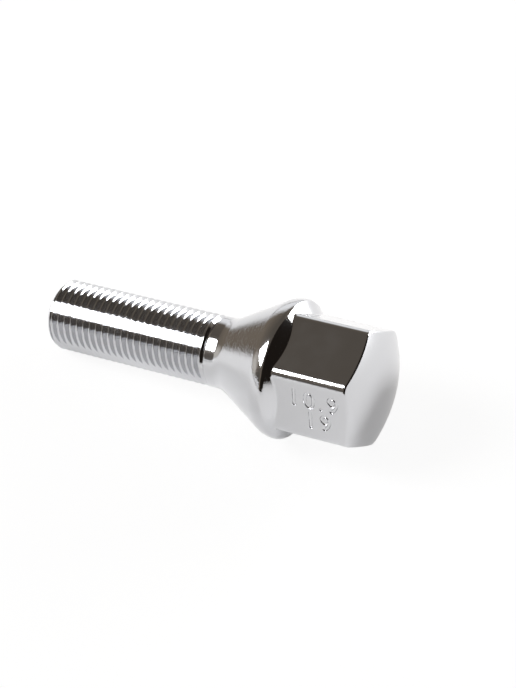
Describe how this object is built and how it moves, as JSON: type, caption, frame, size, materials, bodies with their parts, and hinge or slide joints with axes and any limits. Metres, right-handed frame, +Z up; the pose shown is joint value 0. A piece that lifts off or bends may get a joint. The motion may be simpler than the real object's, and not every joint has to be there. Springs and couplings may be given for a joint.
{
  "type": "wheel bolt",
  "caption": "Wheel bolt in one forged piece: threaded shank, conical seat under a round collar, and a domed hexagon head.",
  "frame": {"origin": "on the surface that the bolt lies on, below the middle of its box", "axes": "+X towards the head, along the shank as seen from above; +Z up. The bolt's own axis rises 7.7 degrees towards the head."},
  "size_m": [0.0612, 0.0234, 0.0241],
  "materials": {
    "chrome_plate": "bright decorative chrome plating on forged steel, smooth, with soft orange peel"
  },
  "bodies": {
    "root": {"wheel_bolt": "chrome_plate"}
  },
  "joints": []
}
